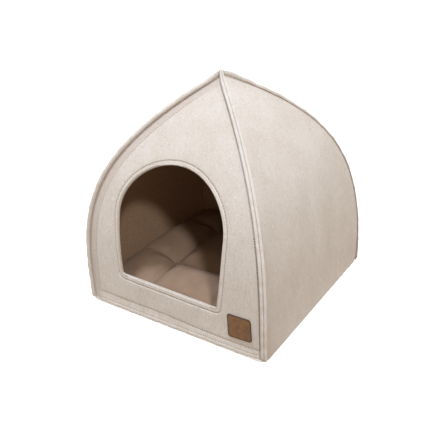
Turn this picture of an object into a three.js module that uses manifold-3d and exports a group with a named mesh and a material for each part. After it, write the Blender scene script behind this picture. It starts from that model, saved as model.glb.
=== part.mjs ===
// Felt cat tent. Four bowed felt panels are sewn together along the corners, edge to edge, so that every
// corner carries a standing seam and the four seams meet at the peak. The panels are sewn to a felt floor in
// the same way, with a flat seam edge all round the bottom. An arched doorway is cut in the front panel, a
// tufted cushion lies on the floor and a small leather patch is sewn beside the doorway.
//
// Millimetres, +Z up, doorway towards -Y. The origin is on the ground at the middle of the base.

import * as THREE from "three";
import { mergeVertices } from "three/addons/utils/BufferGeometryUtils.js";
import Module from "manifold-3d";

// Clearance between neighbouring pieces
const CLEARANCE = 0.3;

// Felt panels: the half-width falls from the foot of the wall to nothing at the peak by a power of the height
const BASE_HALF = 191;
const WALL_FOOT = 5.5;
const PEAK_HEIGHT = 415.5;
const BOW_POWER = 3.45;
const FELT_THICK = 7;
const TOP_HALF = 4;
const PANEL_ROWS = 28;
const PANEL_COLUMNS = 8;
const ROW_CROWDING = 1.5;

// Floor, and the flat seam edge of the panels that lies on its rim
const FLOOR_THICK = 2.4;
const HEM_TOP = 5;
const HEM_REACH = 3.5;
const HEM_CORNER_POWER = 12;
const HEM_CORNER_RADIUS = 16;
const HEM_SEAM_REACH = 1;

// Standing seams: two felt edges side by side, standing out square to the corner, pinched where they are sewn
// together and full at their cut edges. Near the peak they grow thinner and longer, turn upright and tuck in
// towards each other.
const SEAM_REACH = 3.8;
const SEAM_PINCHED = 3.4;
const SEAM_FULL = 5.4;
const SEAM_THINNING = 7;
const PEAK_POWER = 40;
const PEAK_REACH = 9;
const PEAK_TUCK = 0.3;

// Uneven sewing. out, swellMid and swellHigh are how far a corner stands out from the even bow, all along and
// at two heights. lean is how many degrees its standing seam leans towards the panel on its left, seen from
// outside. reach and reachHigh are how far the seam stands out low down and just below the peak.
const SEAMS = {
  frontLeft: { out: 0, swellMid: -0.4, swellHigh: -1.4, lean: 0, reach: SEAM_REACH, reachHigh: SEAM_REACH },
  frontRight: { out: 0, swellMid: 0, swellHigh: 0, lean: 30, reach: SEAM_REACH, reachHigh: SEAM_REACH },
  backRight: { out: 2.6, swellMid: -3.6, swellHigh: 2.2, lean: 0, reach: 3.2, reachHigh: 10.2 },
  backLeft: { out: 0, swellMid: 0, swellHigh: 0, lean: 0, reach: SEAM_REACH, reachHigh: SEAM_REACH },
};
const MID_SHARE = 0.42;
const MID_SPREAD = 0.22;
const HIGH_SHARE = 0.85;
const HIGH_SPREAD = 0.14;
const LEAN_SHARE = 0;
const LEAN_SPREAD = 0.33;
const REACH_POWER = 4;
const SWELL_FADE = 8;

// Panels, each one a quarter turn further round than the one before it
const PANELS = [
  { name: "panel_front", left: SEAMS.frontLeft, right: SEAMS.frontRight, doorway: true },
  { name: "panel_right", left: SEAMS.frontRight, right: SEAMS.backRight, doorway: false },
  { name: "panel_back", left: SEAMS.backRight, right: SEAMS.backLeft, doorway: false },
  { name: "panel_left", left: SEAMS.backLeft, right: SEAMS.frontLeft, doorway: false },
];

// Doorway: a sill that slopes a little, two sides that curve apart, and a flat elliptical arch
const DOOR_CENTRE = -1.3;
const DOOR_SILL_LEFT = 79.5;
const DOOR_SILL_RIGHT = 75.5;
const DOOR_SPRING = 198.5;
const DOOR_TOP = 293;
const DOOR_SILL_HALF = 101;
const DOOR_SPRING_HALF = 110;
const DOOR_CORNER = 5;
const DOOR_STEPS = 12;
const DOOR_OVERCUT = 20;

// Cushion: a crowned square with sides drawn in between the corners and creases through its tufts
const CUSHION_HALF = 179.5;
const CUSHION_DRAW_IN = 3;
const CUSHION_CORNER_ROUND = 4;
const CUSHION_CORNER_POWER = 6;
const CUSHION_SIDE_POWER = 4;
const CUSHION_UNDERSIDE_POWER = 8;
const CUSHION_SEAM_HEIGHT = 30;
const CUSHION_CROWN = 71.5;
const CUSHION_GRID = 36;
const TUFT_X = 70;
const TUFT_Y = 78;
const TUFT_DEPTH = 15;
const TUFT_RADIUS = 24;
const CREASE_DEPTH = 11;
const CREASE_HALF_WIDTH = 15;

// Leather patch
const PATCH_WIDTH = 46;
const PATCH_HEIGHT = 44;
const PATCH_THICK = 1.8;
const PATCH_CORNER = 5;
const PATCH_X = 145.2;
const PATCH_Z = 54;
const PATCH_TILT = THREE.MathUtils.degToRad(3);

// Straight steps in a rounded corner of the floor or the patch
const CORNER_STEPS = 6;

const FELT = new THREE.MeshStandardMaterial({ color: 0xd6cbbf, roughness: 0.95, metalness: 0 });
const COTTON = new THREE.MeshStandardMaterial({ color: 0xbfa893, roughness: 0.9, metalness: 0 });
const LEATHER = new THREE.MeshStandardMaterial({ color: 0x7a4f2c, roughness: 0.6, metalness: 0 });

const UP = new THREE.Vector3(0, 0, 1);
const WALL_RISE = PEAK_HEIGHT - WALL_FOOT;
const TOP_SHARE = (1 - TOP_HALF / BASE_HALF) ** (1 / BOW_POWER);
const SLOPE_STEP = 0.002;

// Last points of a panel's section: its left inner corner, and the root and two tips of its left seam
const LEFT_SEAM_POINTS = 4;

function bump(share, centre, spread) {
  return Math.exp(-(((share - centre) / spread) ** 2));
}

// Half-width of the tent at one corner, at a share of the wall's rise
function cornerHalf(seam, share) {
  const even = BASE_HALF * (1 - share ** BOW_POWER);
  const mid = seam.swellMid * bump(share, MID_SHARE, MID_SPREAD);
  const high = seam.swellHigh * bump(share, HIGH_SHARE, HIGH_SPREAD);
  return even + (seam.out + mid + high) * (1 - share ** SWELL_FADE);
}

// Change of that half-width with height, upright at the foot so that the bottom is cut level
function cornerSlope(seam, share) {
  if (share === 0) {
    return 0;
  }
  const above = cornerHalf(seam, share + SLOPE_STEP);
  const below = cornerHalf(seam, share - SLOPE_STEP);
  return (above - below) / (2 * SLOPE_STEP * WALL_RISE);
}

// Points of a panel's section at one corner: the foot of its seam layer on the outer face, the layer's two
// tips, the root on the mitre between the panels, and the inner corner. side is -1 at the left and 1 at the
// right. In the flat edge at the floor the seam is short and pinched.
function cornerPoints(seam, side, share, inHem) {
  const half = cornerHalf(seam, share);
  const slope = cornerSlope(seam, share);
  const height = WALL_FOOT + share * WALL_RISE;
  const root = new THREE.Vector3(side * half, -half, height);
  const diagonal = new THREE.Vector3(side, -1, 0).normalize();
  const ownSide = new THREE.Vector3(-side, -1, 0).normalize();

  const peakShare = share ** PEAK_POWER;
  const square = diagonal.clone().addScaledVector(UP, -Math.SQRT2 * slope).normalize();
  const tucked = UP.clone().addScaledVector(diagonal, -PEAK_TUCK).normalize();
  const standing = square.lerp(tucked, peakShare).normalize();
  const lean = side * THREE.MathUtils.degToRad(seam.lean) * bump(share, LEAN_SHARE, LEAN_SPREAD);
  const reach = standing.clone().multiplyScalar(Math.cos(lean)).addScaledVector(ownSide, Math.sin(lean));
  const across = ownSide.clone().multiplyScalar(Math.cos(lean)).addScaledVector(standing, -Math.sin(lean));
  const sideReach = THREE.MathUtils.lerp(seam.reach, seam.reachHigh, share ** REACH_POWER);
  const wallReach = THREE.MathUtils.lerp(sideReach, PEAK_REACH, peakShare);
  const tip = root.clone().addScaledVector(reach, inHem ? HEM_SEAM_REACH : wallReach);
  const thinning = 1 - Math.exp(-half / SEAM_THINNING);
  const pinched = CLEARANCE / 2 + SEAM_PINCHED * thinning;
  const full = CLEARANCE / 2 + SEAM_FULL * thinning;

  const faceLength = Math.hypot(1, slope);
  const innerHalf = Math.max(half - FELT_THICK / faceLength, CLEARANCE);
  const innerHeight = height + ((FELT_THICK * slope) / faceLength) * (1 - peakShare);
  return {
    foot: new THREE.Vector3(side * (half - Math.SQRT2 * pinched), -half, height),
    tipOuter: tip.clone().addScaledVector(across, inHem ? pinched : full),
    tipInner: tip.clone().addScaledVector(across, CLEARANCE / 2),
    root: root.clone().addScaledVector(ownSide, CLEARANCE / 2),
    inner: new THREE.Vector3(side * (innerHalf - CLEARANCE / Math.SQRT2), -innerHalf, innerHeight),
  };
}

// One closed section of a panel, anticlockwise from above: outer face, right seam, inner face, left seam.
// In the flat edge at the floor the outer face is pushed out, less and less towards the corners.
function panelSection(panel, share, inHem) {
  const hemReach = inHem ? HEM_REACH : 0;
  const left = cornerPoints(panel.left, -1, share, inHem);
  const right = cornerPoints(panel.right, 1, share, inHem);
  const outer = [];
  const inner = [];
  for (let column = 0; column <= PANEL_COLUMNS; column += 1) {
    const along = (1 - Math.cos((Math.PI * column) / PANEL_COLUMNS)) / 2;
    const push = hemReach * (1 - Math.abs(2 * along - 1) ** HEM_CORNER_POWER);
    const face = left.foot.clone().lerp(right.foot, along);
    outer.push(face.setY(face.y - push));
    inner.push(right.inner.clone().lerp(left.inner, along));
  }
  return [
    ...outer,
    right.tipOuter,
    right.tipInner,
    right.root,
    ...inner,
    left.root,
    left.tipInner,
    left.tipOuter,
  ];
}

// Sections of a panel from the ground up: the flat seam edge on the floor's rim, then the wall to the peak
function panelSections(panel) {
  const sections = [];
  for (const height of [FLOOR_THICK + CLEARANCE, HEM_TOP]) {
    const section = panelSection(panel, 0, true);
    sections.push(section.map((point) => point.setZ(height)));
  }
  for (let row = 0; row <= PANEL_ROWS; row += 1) {
    const share = TOP_SHARE * (1 - (1 - row / PANEL_ROWS) ** ROW_CROWDING);
    sections.push(panelSection(panel, share, false));
  }
  return sections;
}

// Triangles of a section seen from above, as places in its list of points
function sectionTriangles() {
  const outerLeft = 0;
  const outerRight = PANEL_COLUMNS;
  const rightTipOuter = outerRight + 1;
  const rightTipInner = rightTipOuter + 1;
  const rightRoot = rightTipInner + 1;
  const innerRight = rightRoot + 1;
  const innerLeft = innerRight + PANEL_COLUMNS;
  const leftRoot = innerLeft + 1;
  const leftTipInner = leftRoot + 1;
  const leftTipOuter = leftTipInner + 1;
  const triangles = [];
  const quad = (a, b, c, d) => triangles.push([a, b, c], [a, c, d]);
  for (let column = 0; column < PANEL_COLUMNS; column += 1) {
    quad(column, column + 1, innerLeft - column - 1, innerLeft - column);
  }
  quad(outerRight, rightTipOuter, rightTipInner, rightRoot);
  triangles.push([outerRight, rightRoot, innerRight]);
  quad(leftRoot, leftTipInner, leftTipOuter, outerLeft);
  triangles.push([innerLeft, leftRoot, outerLeft]);
  return triangles;
}

function meshFrom(points, triangles) {
  const geometry = new THREE.BufferGeometry();
  const positions = points.flatMap((point) => [point.x, point.y, point.z]);
  geometry.setAttribute("position", new THREE.Float32BufferAttribute(positions, 3));
  geometry.setIndex(triangles.flat());
  return geometry;
}

// A panel in the front panel's place: its sections joined from the bottom to the peak, closed at both ends.
// The left seam is split along the other diagonals, so that it matches the right seam that it stands against.
function panelGeometry(panel) {
  const sections = panelSections(panel);
  const ring = sections[0].length;
  const top = (sections.length - 1) * ring;
  const leftSeam = ring - LEFT_SEAM_POINTS;
  const triangles = [];
  for (let below = 0; below < top; below += ring) {
    const above = below + ring;
    for (let index = 0; index < ring; index += 1) {
      const next = (index + 1) % ring;
      const corners = [below + index, below + next, above + next, above + index];
      if (index >= leftSeam) {
        corners.push(corners.shift());
      }
      const [a, b, c, d] = corners;
      triangles.push([a, b, c], [a, c, d]);
    }
  }
  for (const [a, b, c] of sectionTriangles()) {
    triangles.push([a, c, b]);
    triangles.push([top + a, top + b, top + c]);
  }
  return meshFrom(sections.flat(), triangles);
}

// Doorway outline in the front view, x along the panel and y up, anticlockwise
function doorOutline() {
  const left = DOOR_CENTRE - DOOR_SILL_HALF;
  const right = DOOR_CENTRE + DOOR_SILL_HALF;
  const springLeft = DOOR_CENTRE - DOOR_SPRING_HALF;
  const springRight = DOOR_CENTRE + DOOR_SPRING_HALF;
  const middle = (DOOR_SILL_LEFT + DOOR_SPRING) / 2;
  const rise = DOOR_TOP - DOOR_SPRING;
  const outline = new THREE.Shape();
  outline.moveTo(left + DOOR_CORNER, DOOR_SILL_LEFT);
  outline.lineTo(right - DOOR_CORNER, DOOR_SILL_RIGHT);
  outline.quadraticCurveTo(right, DOOR_SILL_RIGHT, right, DOOR_SILL_RIGHT + DOOR_CORNER);
  outline.quadraticCurveTo(springRight, middle, springRight, DOOR_SPRING);
  outline.absellipse(DOOR_CENTRE, DOOR_SPRING, DOOR_SPRING_HALF, rise, 0, Math.PI);
  outline.quadraticCurveTo(springLeft, middle, left, DOOR_SILL_LEFT + DOOR_CORNER);
  outline.quadraticCurveTo(left, DOOR_SILL_LEFT, left + DOOR_CORNER, DOOR_SILL_LEFT);
  return outline.getPoints(DOOR_STEPS).slice(1);
}

// Point on the front panel's outer face, and the direction square to the face there
function frontFace(x, height) {
  const share = (height - WALL_FOOT) / WALL_RISE;
  const leftHalf = cornerHalf(SEAMS.frontLeft, share);
  const rightHalf = cornerHalf(SEAMS.frontRight, share);
  const along = (x + leftHalf) / (leftHalf + rightHalf);
  const leftSlope = cornerSlope(SEAMS.frontLeft, share);
  const rightSlope = cornerSlope(SEAMS.frontRight, share);
  const slope = THREE.MathUtils.lerp(leftSlope, rightSlope, along);
  return {
    point: new THREE.Vector3(x, -THREE.MathUtils.lerp(leftHalf, rightHalf, along), height),
    square: new THREE.Vector3(0, -1, -slope).normalize(),
  };
}

// Body that the doorway removes: the outline carried square through the bowed front panel
function doorCutter() {
  const outline = doorOutline();
  const count = outline.length;
  const near = [];
  const far = [];
  for (const corner of outline) {
    const face = frontFace(corner.x, corner.y);
    near.push(face.point.clone().addScaledVector(face.square, DOOR_OVERCUT));
    far.push(face.point.clone().addScaledVector(face.square, -FELT_THICK - DOOR_OVERCUT));
  }
  const triangles = [];
  for (let index = 0; index < count; index += 1) {
    const next = (index + 1) % count;
    triangles.push([index, count + index, count + next]);
    triangles.push([index, count + next, next]);
  }
  for (const [a, b, c] of THREE.ShapeUtils.triangulateShape(outline, [])) {
    triangles.push([a, b, c]);
    triangles.push([count + a, count + c, count + b]);
  }
  return meshFrom([...near, ...far], triangles);
}

const wasm = await Module();
wasm.setup();

function solidFrom(geometry) {
  const merged = mergeVertices(geometry);
  const vertProperties = new Float32Array(merged.getAttribute("position").array);
  const triVerts = new Uint32Array(merged.getIndex().array);
  return new wasm.Manifold(new wasm.Mesh({ numProp: 3, vertProperties, triVerts }));
}

function subtract(geometry, cutter) {
  const result = solidFrom(geometry).subtract(solidFrom(cutter)).getMesh();
  const cut = new THREE.BufferGeometry();
  cut.setAttribute("position", new THREE.Float32BufferAttribute(result.vertProperties, 3));
  cut.setIndex([...result.triVerts]);
  return cut;
}

// A rectangle with round corners, centred
function roundedRectangle(width, height, radius) {
  const x = width / 2 - radius;
  const y = height / 2 - radius;
  const outline = new THREE.Shape();
  outline.absarc(x, y, radius, 0, Math.PI / 2);
  outline.absarc(-x, y, radius, Math.PI / 2, Math.PI);
  outline.absarc(-x, -y, radius, Math.PI, Math.PI * 1.5);
  outline.absarc(x, -y, radius, Math.PI * 1.5, Math.PI * 2);
  outline.closePath();
  return outline;
}

function plateGeometry(outline, thick) {
  const settings = { depth: thick, bevelEnabled: false, curveSegments: CORNER_STEPS };
  return new THREE.ExtrudeGeometry(outline, settings);
}

// Place of a cushion point on the plan: the sides are drawn in between the corners, which are a little round
function cushionPlan(u, v) {
  const reach = (along) => CUSHION_HALF - CUSHION_DRAW_IN * (1 - along ** CUSHION_SIDE_POWER);
  const round = 1 - (CUSHION_CORNER_ROUND / CUSHION_HALF) * Math.abs(u * v) ** CUSHION_CORNER_POWER;
  return new THREE.Vector2(u * reach(v) * round, v * reach(u) * round);
}

// Upper face: a crown that falls to the seam, with creases through the tufts and a dip at each tuft
function cushionTop(u, v) {
  const place = cushionPlan(u, v);
  const fall = Math.sqrt((1 - u ** CUSHION_SIDE_POWER) * (1 - v ** CUSHION_SIDE_POWER));
  const creaseX = bump(Math.abs(place.x), TUFT_X, CREASE_HALF_WIDTH);
  const creaseY = bump(Math.abs(place.y), TUFT_Y, CREASE_HALF_WIDTH);
  const tuftDistance = Math.hypot(Math.abs(place.x) - TUFT_X, Math.abs(place.y) - TUFT_Y);
  const tuft = TUFT_DEPTH * Math.exp(-tuftDistance / TUFT_RADIUS);
  const sink = CREASE_DEPTH * Math.max(creaseX, creaseY) + tuft;
  const height = CUSHION_SEAM_HEIGHT + fall * (CUSHION_CROWN - CUSHION_SEAM_HEIGHT - sink);
  return new THREE.Vector3(place.x, place.y, height);
}

// Lower face: flat on the floor and curling up to the seam
function cushionBottom(u, v) {
  const place = cushionPlan(u, v);
  const rest = FLOOR_THICK + CLEARANCE;
  const flat = Math.sqrt((1 - u ** CUSHION_UNDERSIDE_POWER) * (1 - v ** CUSHION_UNDERSIDE_POWER));
  return new THREE.Vector3(place.x, place.y, CUSHION_SEAM_HEIGHT - flat * (CUSHION_SEAM_HEIGHT - rest));
}

function cushionGeometry() {
  const side = CUSHION_GRID + 1;
  const points = [];
  const triangles = [];
  for (const face of [cushionTop, cushionBottom]) {
    for (let row = 0; row < side; row += 1) {
      for (let column = 0; column < side; column += 1) {
        const u = Math.sin(((column / CUSHION_GRID) * 2 - 1) * (Math.PI / 2));
        const v = Math.sin(((row / CUSHION_GRID) * 2 - 1) * (Math.PI / 2));
        points.push(face(u, v));
      }
    }
  }
  const bottom = side * side;
  for (let row = 0; row < CUSHION_GRID; row += 1) {
    for (let column = 0; column < CUSHION_GRID; column += 1) {
      const a = row * side + column;
      const b = a + 1;
      const c = b + side;
      const d = a + side;
      triangles.push([a, b, c], [a, c, d]);
      triangles.push([bottom + a, bottom + c, bottom + b], [bottom + a, bottom + d, bottom + c]);
    }
  }
  return mergeVertices(meshFrom(points, triangles));
}

function named(name, geometry, material) {
  const mesh = new THREE.Mesh(geometry, material);
  mesh.name = name;
  return mesh;
}

const tent = new THREE.Group();

PANELS.forEach((panel, quarter) => {
  const whole = panelGeometry(panel);
  const geometry = panel.doorway ? subtract(whole, doorCutter()) : whole;
  const mesh = named(panel.name, geometry, FELT);
  mesh.rotation.z = (quarter * Math.PI) / 2;
  tent.add(mesh);
});

const floorSide = 2 * (BASE_HALF + HEM_REACH);
const floorOutline = roundedRectangle(floorSide, floorSide, HEM_CORNER_RADIUS);
tent.add(named("floor", plateGeometry(floorOutline, FLOOR_THICK), FELT));
tent.add(named("cushion", cushionGeometry(), COTTON));

const patchOutline = roundedRectangle(PATCH_WIDTH, PATCH_HEIGHT, PATCH_CORNER);
const patch = named("patch", plateGeometry(patchOutline, PATCH_THICK), LEATHER);
const patchSeat = frontFace(PATCH_X, PATCH_Z);
patch.position.copy(patchSeat.point).addScaledVector(patchSeat.square, CLEARANCE);
patch.rotation.set(Math.PI / 2, 0, PATCH_TILT);
tent.add(patch);

export default tent;
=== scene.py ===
import bpy
import numpy as np
from mathutils import Matrix


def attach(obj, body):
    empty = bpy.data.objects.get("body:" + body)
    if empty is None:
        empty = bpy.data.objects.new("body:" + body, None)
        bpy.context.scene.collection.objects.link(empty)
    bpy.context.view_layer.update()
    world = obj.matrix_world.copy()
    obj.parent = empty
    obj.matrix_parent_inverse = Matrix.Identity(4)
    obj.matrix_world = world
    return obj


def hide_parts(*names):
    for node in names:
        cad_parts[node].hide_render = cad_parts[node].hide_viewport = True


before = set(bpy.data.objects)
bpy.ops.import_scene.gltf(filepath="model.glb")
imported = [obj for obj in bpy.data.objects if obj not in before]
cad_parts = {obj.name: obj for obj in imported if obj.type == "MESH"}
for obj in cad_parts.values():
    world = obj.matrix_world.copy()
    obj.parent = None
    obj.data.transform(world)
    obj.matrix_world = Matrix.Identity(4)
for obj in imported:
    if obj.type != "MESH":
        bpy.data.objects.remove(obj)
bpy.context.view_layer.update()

# Felt walls. Each of the four is one thick sheet of beige felt that bows in to the peak. Its side edges stand
# out in the corner seams against the next wall's, and its foot flares out to a rounded edge on the floor. All
# but the right one have rows of stitches inside their edges.
BASE_HALF = 0.191
WALL_FOOT = 0.0055
WALL_RISE = 0.410
BOW_POWER = 3.45
FELT_THICK = 0.007
PEAK_HALF = 0.0026
TOP_SHARE = (1 - PEAK_HALF / BASE_HALF) ** (1 / BOW_POWER)
CLEARANCE = 0.0003
SEAM_REACH = 0.0038
SEAM_PINCHED = 0.0034
SEAM_FULL = 0.0054
SEAM_THINNING = 0.007
SEAM_ROUND = 0.0016
SEAM_START, SEAM_START_SHARE = 0.007, 0.3
SEAM_UNEVEN, SEAM_WAVES = 0.07, (0.0095, 0.0037)
PEAK_POWER = 75
PEAK_REACH = 0.0125
PEAK_TUCK = 0.40
EDGE_BOTTOM = 0.0027
EDGE_REACH = 0.0030
EDGE_CORNER_POWER = 12
MID_SHARE, MID_SPREAD = 0.42, 0.22
HIGH_SHARE, HIGH_SPREAD = 0.85, 0.14
LEAN_SHARE, LEAN_SPREAD = 0.0, 0.33
REACH_POWER = 4
SWELL_FADE = 8
SLOPE_STEP = 0.002

# How each corner was sewn: how far it stands out from the even bow, all along and at two heights, how many
# degrees its standing seam leans towards the wall on its left, how far the seam stands out low and high, how
# much painted shade darkens its edges low down, and where its unevenness starts.
EVEN_SEAM = {"out": 0.0, "swell_mid": 0.0, "swell_high": 0.0, "lean": 0, "reach": SEAM_REACH,
             "reach_high": SEAM_REACH, "soil": 0.0}
FRONT_LEFT = {**EVEN_SEAM, "swell_mid": -0.0004, "swell_high": -0.0014, "wave": 0.4}
FRONT_RIGHT = {**EVEN_SEAM, "lean": 30, "wave": 2.1}
# The back right seam's edges carry painted shade, strongest low down.
BACK_RIGHT = {"out": 0.0026, "swell_mid": -0.0036, "swell_high": 0.0022, "lean": 0, "reach": 0.0032,
              "reach_high": 0.0094, "soil": 2.8, "wave": 3.9}
BACK_LEFT = {**EVEN_SEAM, "wave": 5.2}

# left_row and right_row are how far the stitches run from the corner, and foot_row how far from the ground
# edge. A side with a row closer than BARE_ROW has no stitches but those of its seam, and a wall with NO_ROW
# has a plain foot. drawn is how hard the stitches pull, and scales the painted shade and darkening at its
# seams. left_sink and right_sink are how deep the felt sinks into each seam and over what width, and
# right_rise how far it swells out towards the seam instead. flare is the height over which the foot turns out
# to the ground edge, the darkening low down how much darker the felt is coloured there beside the left seam,
# and sway where its slow waves start.
BARE_ROW = 0.010
NO_ROW = -0.030
EVEN_WALL = {"left_sink": (0.0010, 0.004), "right_sink": (0.0010, 0.004), "right_rise": 0.0, "flare": 0.009,
             "soil": 0.0}
WALLS = [
    {**EVEN_WALL, "name": "panel_front", "left": FRONT_LEFT, "right": FRONT_RIGHT, "left_row": 0.0210,
     "right_row": 0.0056, "foot_row": 0.0135, "drawn": 1.0, "left_sink": (0.0008, 0.003),
     "right_sink": (0.0026, 0.010), "sway": 0.3},
    {**EVEN_WALL, "name": "panel_right", "left": FRONT_RIGHT, "right": BACK_RIGHT, "left_row": 0.0056,
     "right_row": 0.0056, "foot_row": NO_ROW, "drawn": 0.5, "left_sink": (0.0010, 0.003),
     "right_sink": (0.0, 0.004), "right_rise": 0.005, "flare": 0.030, "soil": 2.0, "sway": 1.7},
    {**EVEN_WALL, "name": "panel_back", "left": BACK_RIGHT, "right": BACK_LEFT, "left_row": 0.0200,
     "right_row": 0.0205, "foot_row": 0.0145, "drawn": 0.8, "sway": 2.9},
    {**EVEN_WALL, "name": "panel_left", "left": BACK_LEFT, "right": FRONT_LEFT, "left_row": 0.0205,
     "right_row": 0.0200, "foot_row": 0.0140, "drawn": 0.9, "sway": 4.6},
]


def bump(value, centre, spread):
    """Bell curve: one at the centre, falling by the square of the distance over the spread."""
    return np.exp(-(((value - centre) / spread) ** 2))


def unit(vectors):
    """Vectors divided by their own lengths."""
    return vectors / np.linalg.norm(vectors, axis=-1, keepdims=True)


def mix(first, second, share):
    """Straight blend: first at share zero, second at share one."""
    return first + (second - first) * share


def corner_half(seam, share):
    """Half-width at a corner: the base times one minus a power of the height, plus how far it stands out."""
    even = BASE_HALF * (1 - share**BOW_POWER)
    mid = seam["swell_mid"] * bump(share, MID_SHARE, MID_SPREAD)
    high = seam["swell_high"] * bump(share, HIGH_SHARE, HIGH_SPREAD)
    return even + (seam["out"] + mid + high) * (1 - share**SWELL_FADE)


def corner_slope(seam, share):
    """Change of the half-width with height, as a difference between two near heights; none at the foot."""
    low = np.maximum(share - SLOPE_STEP, 0)
    high = share + SLOPE_STEP
    slope = (corner_half(seam, high) - corner_half(seam, low)) / ((high - low) * WALL_RISE)
    return np.where(share > 0, slope, 0.0)


def wall_face(wall, x, share):
    """Outer face: a level straight line from corner to corner at each height; and the way square to it."""
    left = corner_half(wall["left"], share)
    right = corner_half(wall["right"], share)
    along = (x + left) / (left + right)
    slope = mix(corner_slope(wall["left"], share), corner_slope(wall["right"], share), along)
    points = np.stack([x, -mix(left, right, along), WALL_FOOT + share * WALL_RISE], -1)
    square = unit(np.stack([0 * x, -1 + 0 * x, -slope], -1))
    return points, square


# Length of the even bow from the foot up, so that heights and lengths along the felt give each other
BOW_SHARES = np.linspace(0, 1, 2001)
BOW_STEPS = np.hypot(np.diff(BOW_SHARES) * WALL_RISE, np.diff(BASE_HALF * (1 - BOW_SHARES**BOW_POWER)))
BOW_LENGTHS = np.concatenate([[0], np.cumsum(BOW_STEPS)])


def length_at(share):
    """Length along the bowed felt from the foot to a share of the rise."""
    return np.interp(share, BOW_SHARES, BOW_LENGTHS)


def share_at(length):
    """Share of the rise at a length along the bowed felt."""
    return np.interp(length, BOW_LENGTHS, BOW_SHARES)


def slant(seam, share):
    """Cosine of the angle between a corner and the upright in the flat cut of the felt."""
    slope = corner_slope(seam, share)
    run = slope / np.hypot(1, slope)
    return 1 / np.hypot(1, run)


FOOT_ROW_LOW, FOOT_ROW_SPREAD = 0.12, 0.062
FOOT_ROW_RISE, FOOT_ROW_MOST = 0.001, 0.0045


def foot_row(wall, x):
    """Height of the lowest row over the foot: it rises as the square of the way from its low, to a cap."""
    rise = ((x - FOOT_ROW_LOW) / FOOT_ROW_SPREAD) ** 2 * FOOT_ROW_RISE
    return wall["foot_row"] + np.minimum(rise, FOOT_ROW_MOST)


SEAM_FOOT = np.sqrt(2) * (SEAM_PINCHED + CLEARANCE / 2)
ROW_GROOVE, ROW_HALF_WIDTH, FOOT_ROW_DEPTH = 0.0011, 0.0015, 0.5
PUFF_RISE, PUFF_START, PUFF_REACH = 0.0014, 0.005, 0.030
STRIP_FALL = 0.0018
SWELL_WIDTH, SWELL_START, NARROW = 0.016, 0.03, 0.03
PUCKERS = ((0.12, 0.0031, 1), (0.10, 0.0074, 3))
FLARE_POWER = 1.4
EDGE_ROW, EDGE_GROOVE, EDGE_GROOVE_WIDTH = 0.0045, 0.0005, 0.0013
WAVE_RISE, WAVE_CALM = 0.00045, 0.025
WAVES = ((0.031, 0.052, 1), (0.019, -0.037, 2))


def foot_push(along):
    """How far the ground edge stands out at a share of the wall's width: full but near the corners."""
    return EDGE_REACH * (1 - np.abs(2 * np.clip(along, 0, 1) - 1) ** EDGE_CORNER_POWER)


def from_seams(wall, x, share):
    """Distances along the felt from the corners on the left and on the right."""
    from_left = (x + corner_half(wall["left"], share)) * slant(wall["left"], share)
    from_right = (corner_half(wall["right"], share) - x) * slant(wall["right"], share)
    return from_left, from_right


def wall_relief(wall, x, share):
    """How far the felt stands out from its even bow.

    The rows of stitches lie in grooves. Inside them the felt puffs out and carries slow waves. Outside them,
    at the sides, it falls away and then sinks into the seam or swells out to it. At the foot it flares out to
    the uneven ground edge."""
    half_left, half_right = corner_half(wall["left"], share), corner_half(wall["right"], share)
    from_left, from_right = from_seams(wall, x, share)
    length = length_at(share)
    left, right = from_left - wall["left_row"], from_right - wall["right_row"]
    low = length - foot_row(wall, x)
    sides = np.minimum(left, right)
    past = np.maximum(np.minimum(sides, low), 0)
    puff = PUFF_RISE * (1 - np.exp(-past / PUFF_START)) * np.exp(-past / PUFF_REACH)
    side_groove = bump(np.minimum(sides, low), 0, ROW_HALF_WIDTH) * (sides < low)
    foot_groove = FOOT_ROW_DEPTH * bump(low, 0, ROW_HALF_WIDTH) * (sides >= low)
    sewn = wall["drawn"] * (puff - ROW_GROOVE * np.maximum(side_groove, foot_groove))

    strip_left = np.clip(-left / (wall["left_row"] - SEAM_FOOT), 0, 1)
    strip_right = np.clip(-right / (wall["right_row"] - SEAM_FOOT), 0, 1)
    sunk = wall["drawn"] * STRIP_FALL * np.maximum(strip_left, strip_right)
    near_left, near_right = np.maximum(from_left - SEAM_FOOT, 0), np.maximum(from_right - SEAM_FOOT, 0)
    for near, (depth, width) in ((near_left, wall["left_sink"]), (near_right, wall["right_sink"])):
        sunk = sunk + depth * np.exp(-near / width)
    risen = wall["right_rise"] * np.exp(-near_right / SWELL_WIDTH) * (1 - np.exp(-length / SWELL_START))
    wide = 1 - np.exp(-(half_left + half_right) / NARROW)

    pucker = 1 + sum(rise * np.sin(x / pitch + shift * wall["sway"]) for rise, pitch, shift in PUCKERS)
    push = foot_push((x + half_left) / (half_left + half_right)) * pucker
    flare = push * np.exp(-((length / wall["flare"]) ** FLARE_POWER))
    edge_groove = EDGE_GROOVE * bump(length, EDGE_ROW, EDGE_GROOVE_WIDTH) * (wall["foot_row"] > NO_ROW)
    wave = sum(np.sin(x / across + length / along + shift * wall["sway"]) for across, along, shift in WAVES)
    calm = 1 - np.exp(-past / WAVE_CALM)
    return sewn + wide * (risen - sunk) + flare - edge_groove + WAVE_RISE * wave * calm


# Painted shade: a dark line at the foot of each seam, and more where the felt sinks into it. Plain darkening
# beside the rows of stitches and low down beside a seam.
FULL_SINK = 0.0026
STRIP_EDGE = 0.0007
SEAM_LINE, SEAM_LINE_WIDTH = 1.7, 0.0012
DARKER_LOW_WIDTH, DARKER_LOW_HEIGHT = 0.028, 0.16
FAR_STEPS = 40


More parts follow.
